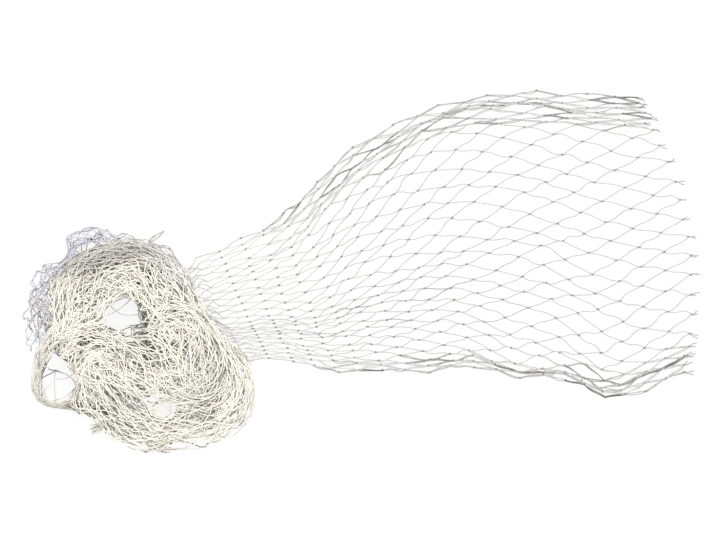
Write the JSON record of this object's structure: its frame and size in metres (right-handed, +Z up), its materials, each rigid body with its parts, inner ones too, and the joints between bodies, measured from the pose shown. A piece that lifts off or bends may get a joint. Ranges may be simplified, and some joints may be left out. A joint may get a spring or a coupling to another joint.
{
  "type": "fishing net",
  "caption": "Knotted diamond-mesh fishing net lying on a floor, drawn out flat in a fan at its cut end and gathered into a loose heap at the other.",
  "frame": {"origin": "centre of the outline as seen from above, at the level of the floor that the net lies on", "axes": "+X from the heap along the fan to the cut end; +Y across the fan, away from the viewer; +Z up"},
  "size_m": [0.6341, 0.3911, 0.0451],
  "materials": {
    "twine": "satin"
  },
  "bodies": {
    "root": {"net": "twine"}
  },
  "joints": []
}
